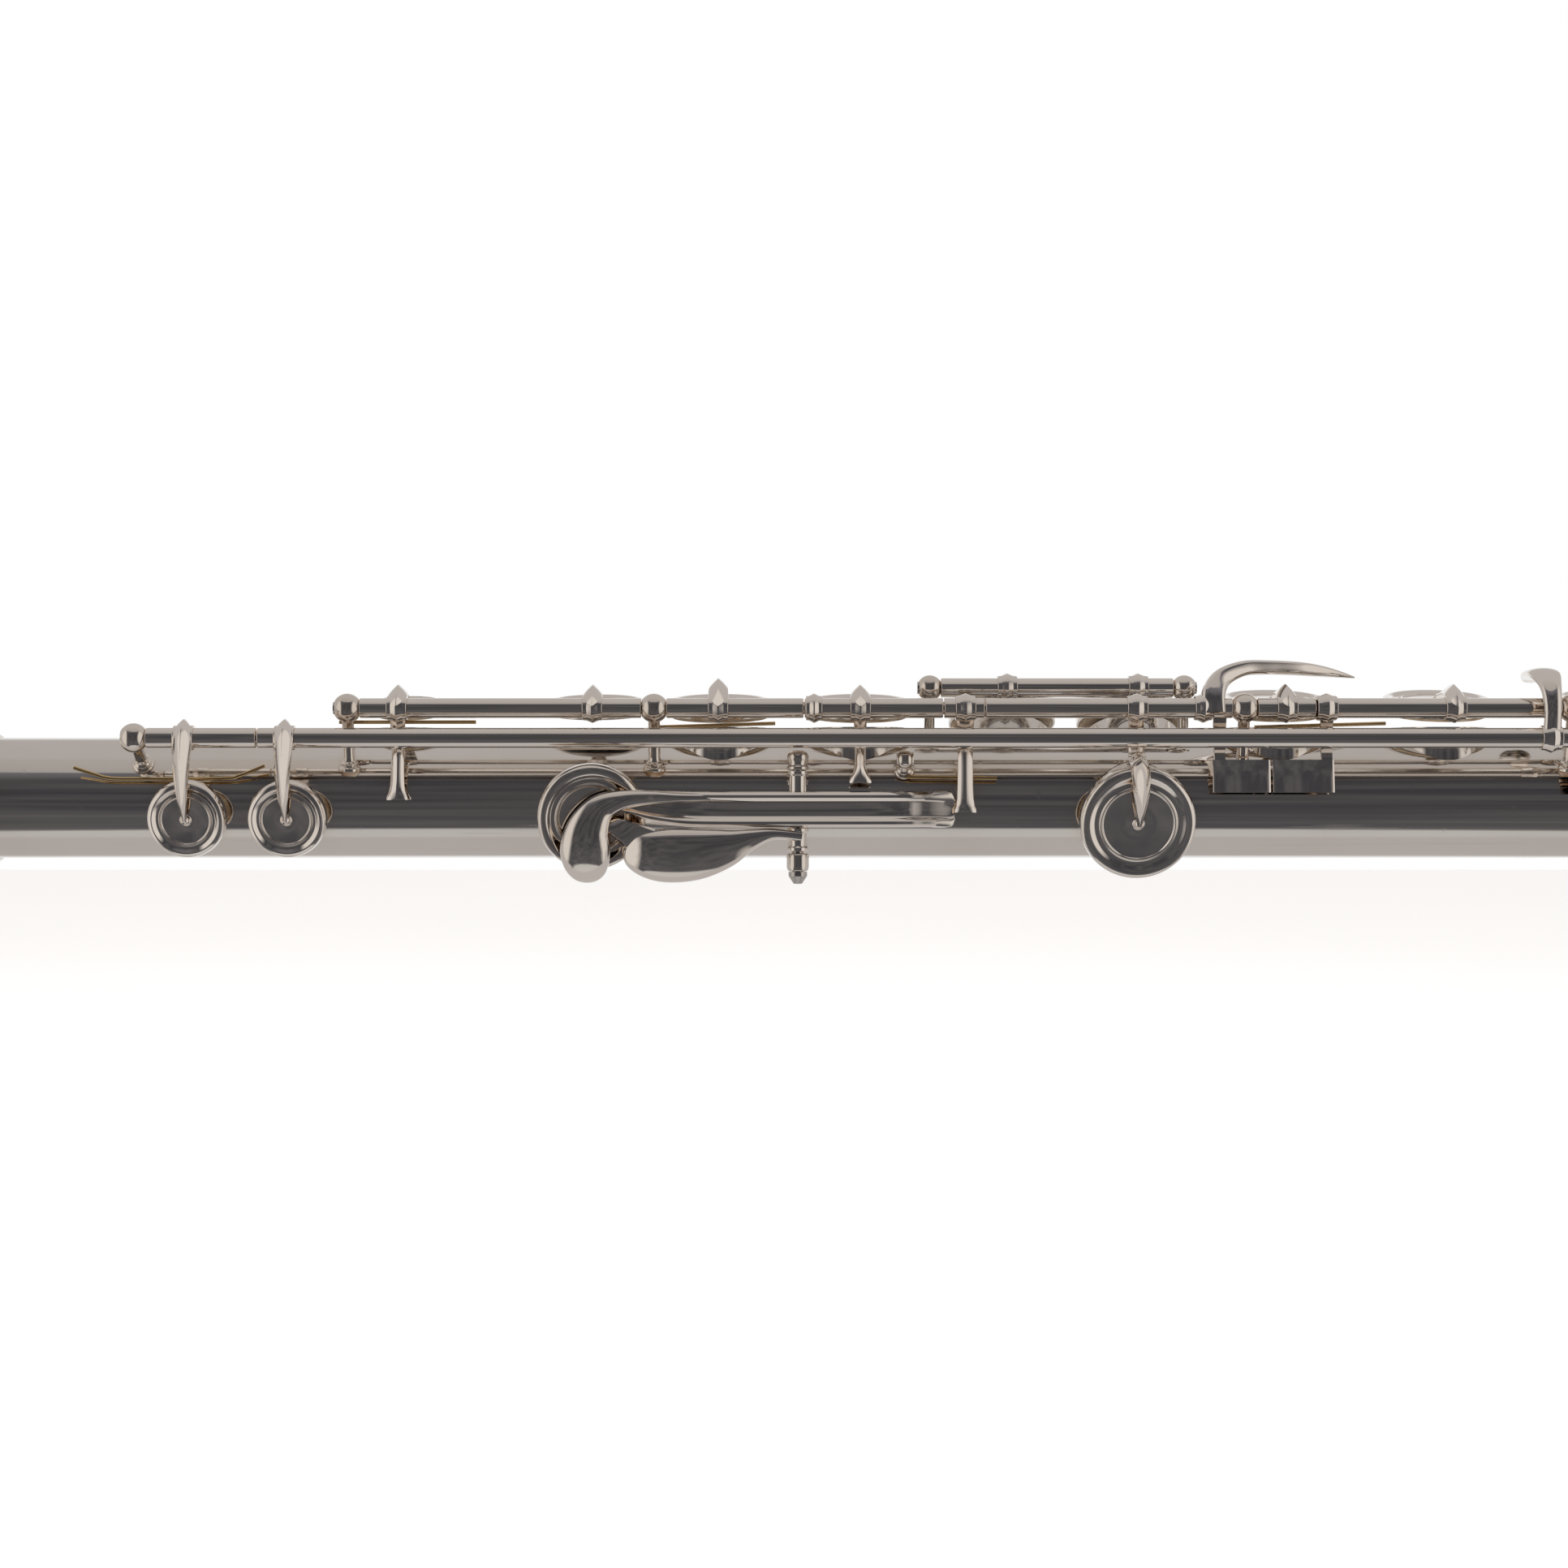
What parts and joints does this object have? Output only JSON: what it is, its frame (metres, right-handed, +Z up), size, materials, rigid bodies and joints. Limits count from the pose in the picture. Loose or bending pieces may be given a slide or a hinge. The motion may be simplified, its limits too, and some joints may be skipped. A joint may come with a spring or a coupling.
{
  "type": "concert flute",
  "caption": "Metal concert flute in C: head joint with lip plate and crown, body joint with closed-hole keywork and offset G, and a C foot joint with rollers.",
  "frame": {"origin": "centre of the open end of the foot joint's bore", "axes": "+X along the bore, out of the open foot end; +Z up through the main row of cups; -Y towards the player"},
  "size_m": [0.674, 0.0378, 0.0437],
  "materials": {
    "tube_silver": "polished silver plate, fine wiping scratches",
    "key_silver": "bright polished silver plate",
    "post_silver": "polished silver plate, darker in the corners",
    "hinge_steel": "ground steel",
    "spring_bronze": "drawn bronze wire",
    "pad_skin": "felt under skin, cream to brown",
    "key_cork": "cork sheet",
    "stopper_cork": "turned cork, waxed"
  },
  "bodies": {
    "body_joint": {"body_tube": "tube_silver", "barrel": "tube_silver", "body_rib": "post_silver", "main_posts": "post_silver", "trill_posts": "post_silver", "thumb_posts": "post_silver", "thumb_hinge_pin": "hinge_steel", "hinge_steels": "hinge_steel", "needle_springs": "spring_bronze", "trill_springs": "spring_bronze"},
    "c_key": {"c_key": "key_silver", "c_key_pad": "pad_skin", "c_key_cork": "key_cork"},
    "b_flat_key": {"b_flat_key": "key_silver", "b_flat_key_pad": "pad_skin"},
    "a_key": {"a_key": "key_silver", "a_key_pad": "pad_skin"},
    "g_key": {"g_key": "key_silver", "g_key_pads": "pad_skin"},
    "g_sharp_key": {"g_sharp_key": "key_silver", "g_sharp_key_pad": "pad_skin"},
    "f_sharp_key": {"f_sharp_key": "key_silver", "f_sharp_key_pad": "pad_skin"},
    "f_key": {"f_key": "key_silver", "f_key_pad": "pad_skin"},
    "e_key": {"e_key": "key_silver", "e_key_pad": "pad_skin"},
    "d_key": {"d_key": "key_silver", "d_key_pad": "pad_skin"},
    "d_trill_key": {"d_trill_key": "key_silver", "d_trill_pad": "pad_skin"},
    "d_sharp_trill_key": {"d_sharp_trill_key": "key_silver", "d_sharp_trill_pad": "pad_skin"},
    "thumb_b_key": {"thumb_b_key": "key_silver", "thumb_b_key_pad": "pad_skin"},
    "thumb_b_flat_lever": {"thumb_b_flat_lever": "key_silver"},
    "head_joint": {"head_tube": "tube_silver", "lip_plate": "tube_silver", "lip_riser": "tube_silver"},
    "stopper": {"stopper_cork": "stopper_cork", "stopper_screw": "tube_silver"},
    "crown": {"crown": "tube_silver"},
    "foot_joint": {"foot_tube": "tube_silver", "foot_socket": "tube_silver", "foot_rib": "post_silver", "foot_posts": "post_silver", "foot_springs": "spring_bronze", "foot_end_ring": "tube_silver"},
    "low_d_sharp_key": {"low_d_sharp_key": "key_silver", "low_d_sharp_pad": "pad_skin"},
    "low_c_sharp_key": {"low_c_sharp_key": "key_silver", "low_c_sharp_pad": "pad_skin"},
    "low_c_key": {"low_c_key": "key_silver", "low_c_pad": "pad_skin"},
    "c_sharp_roller": {"c_sharp_roller": "key_silver"},
    "c_roller": {"c_roller": "key_silver"}
  },
  "joints": [
    {"name": "c_key_press", "type": "hinge", "parent": "body_joint", "child": "c_key", "pos_m": [-0.35, -0.0115, 0.0144], "axis": [1, 0, 0], "range_deg": [-8.5, 0], "stiffness_Nm_per_rad": 0.01, "springref_deg": 22.92},
    {"name": "b_flat_key_close", "type": "hinge", "parent": "body_joint", "child": "b_flat_key", "pos_m": [-0.3, -0.0115, 0.0144], "axis": [1, 0, 0], "range_deg": [-8.5, 0], "stiffness_Nm_per_rad": 0.005, "springref_deg": 22.92},
    {"name": "a_key_press", "type": "hinge", "parent": "body_joint", "child": "a_key", "pos_m": [-0.29, -0.0115, 0.0144], "axis": [1, 0, 0], "range_deg": [-8.5, 0], "stiffness_Nm_per_rad": 0.01, "springref_deg": 22.92},
    {"name": "g_key_press", "type": "hinge", "parent": "body_joint", "child": "g_key", "pos_m": [-0.258, -0.0038, 0.0179], "axis": [1, 0, 0], "range_deg": [-8.5, 0], "stiffness_Nm_per_rad": 0.01, "springref_deg": 22.92},
    {"name": "g_sharp_key_press", "type": "hinge", "parent": "body_joint", "child": "g_sharp_key", "pos_m": [-0.25, -0.0115, 0.0144], "axis": [1, 0, 0], "range_deg": [-7, 0], "stiffness_Nm_per_rad": 0.01, "springref_deg": 34.38},
    {"name": "f_sharp_key_close", "type": "hinge", "parent": "body_joint", "child": "f_sharp_key", "pos_m": [-0.224, -0.0115, 0.0144], "axis": [1, 0, 0], "range_deg": [-10.5, 0], "stiffness_Nm_per_rad": 0.005, "springref_deg": 22.92},
    {"name": "f_key_press", "type": "hinge", "parent": "body_joint", "child": "f_key", "pos_m": [-0.2, -0.0115, 0.0144], "axis": [1, 0, 0], "range_deg": [-10.5, 0], "stiffness_Nm_per_rad": 0.01, "springref_deg": 22.92},
    {"name": "e_key_press", "type": "hinge", "parent": "body_joint", "child": "e_key", "pos_m": [-0.168, -0.0115, 0.0144], "axis": [1, 0, 0], "range_deg": [-10.5, 0], "stiffness_Nm_per_rad": 0.01, "springref_deg": 22.92},
    {"name": "d_key_press", "type": "hinge", "parent": "body_joint", "child": "d_key", "pos_m": [-0.14, -0.0115, 0.0144], "axis": [1, 0, 0], "range_deg": [-10.5, 0], "stiffness_Nm_per_rad": 0.01, "springref_deg": 22.92},
    {"name": "d_trill_press", "type": "hinge", "parent": "body_joint", "child": "d_trill_key", "pos_m": [-0.25, -0.0145, 0.0096], "axis": [1, 0, 0], "range_deg": [-8, 0], "stiffness_Nm_per_rad": 0.01, "springref_deg": 34.38},
    {"name": "d_sharp_trill_press", "type": "hinge", "parent": "body_joint", "child": "d_sharp_trill_key", "pos_m": [-0.3, -0.0145, 0.0096], "axis": [1, 0, 0], "range_deg": [-8, 0], "stiffness_Nm_per_rad": 0.01, "springref_deg": 34.38},
    {"name": "thumb_b_flat_press", "type": "hinge", "parent": "body_joint", "child": "thumb_b_flat_lever", "pos_m": [-0.3024, -0.013, 0], "axis": [0, 0, 1], "range_deg": [-5.5, 0], "stiffness_Nm_per_rad": 0.01, "springref_deg": 17.19},
    {"name": "thumb_b_key_close", "type": "hinge", "parent": "body_joint", "child": "thumb_b_key", "pos_m": [-0.3024, -0.013, -0.006], "axis": [0, 0, 1], "range_deg": [-5.5, 0], "stiffness_Nm_per_rad": 0.005, "springref_deg": 17.19},
    {"name": "head_tuning_slide", "type": "slide", "parent": "body_joint", "child": "head_joint", "axis": [-1, 0, 0], "range_m": [0, 0.012]},
    {"name": "crown_turn", "type": "hinge", "parent": "head_joint", "child": "crown", "pos_m": [-0.668, 0, 0], "axis": [1, 0, 0], "range_deg": [-362, 362]},
    {"name": "stopper_slide", "type": "slide", "parent": "head_joint", "child": "stopper", "axis": [1, 0, 0], "range_m": [-0.0007, 0.0007]},
    {"name": "foot_turn", "type": "hinge", "parent": "body_joint", "child": "foot_joint", "pos_m": [-0.122, 0, 0], "axis": [1, 0, 0], "range_deg": [-20, 20]},
    {"name": "low_d_sharp_press", "type": "hinge", "parent": "foot_joint", "child": "low_d_sharp_key", "pos_m": [-0.105, 0, 0.01843], "axis": [1, 0, 0], "range_deg": [0, 8.5], "stiffness_Nm_per_rad": 0.01, "springref_deg": -34.38},
    {"name": "low_c_sharp_press", "type": "hinge", "parent": "foot_joint", "child": "low_c_sharp_key", "pos_m": [-0.072, 0, 0.01843], "axis": [1, 0, 0], "range_deg": [-9, 0], "stiffness_Nm_per_rad": 0.01, "springref_deg": 22.92},
    {"name": "low_c_press", "type": "hinge", "parent": "foot_joint", "child": "low_c_key", "pos_m": [-0.036, 0, 0.01843], "axis": [1, 0, 0], "range_deg": [-9, 0], "stiffness_Nm_per_rad": 0.01, "springref_deg": 22.92},
    {"name": "c_sharp_roller_spin", "type": "hinge", "parent": "low_c_sharp_key", "child": "c_sharp_roller", "pos_m": [-0.0876, 0.00707, 0.02016], "axis": [1, 0, 0], "continuous": true},
    {"name": "c_roller_spin", "type": "hinge", "parent": "low_c_key", "child": "c_roller", "pos_m": [-0.0876, 0.0116, 0.01759], "axis": [1, 0, 0], "continuous": true}
  ],
  "couplings": [
    {"joint": "b_flat_key_close", "follows": "thumb_b_flat_press", "ratio": 1.54},
    {"joint": "thumb_b_key_close", "follows": "thumb_b_flat_press", "ratio": 1},
    {"joint": "f_sharp_key_close", "follows": "f_key_press", "ratio": 1},
    {"joint": "crown_turn", "follows": "stopper_slide", "rad_per_m": 8976}
  ]
}
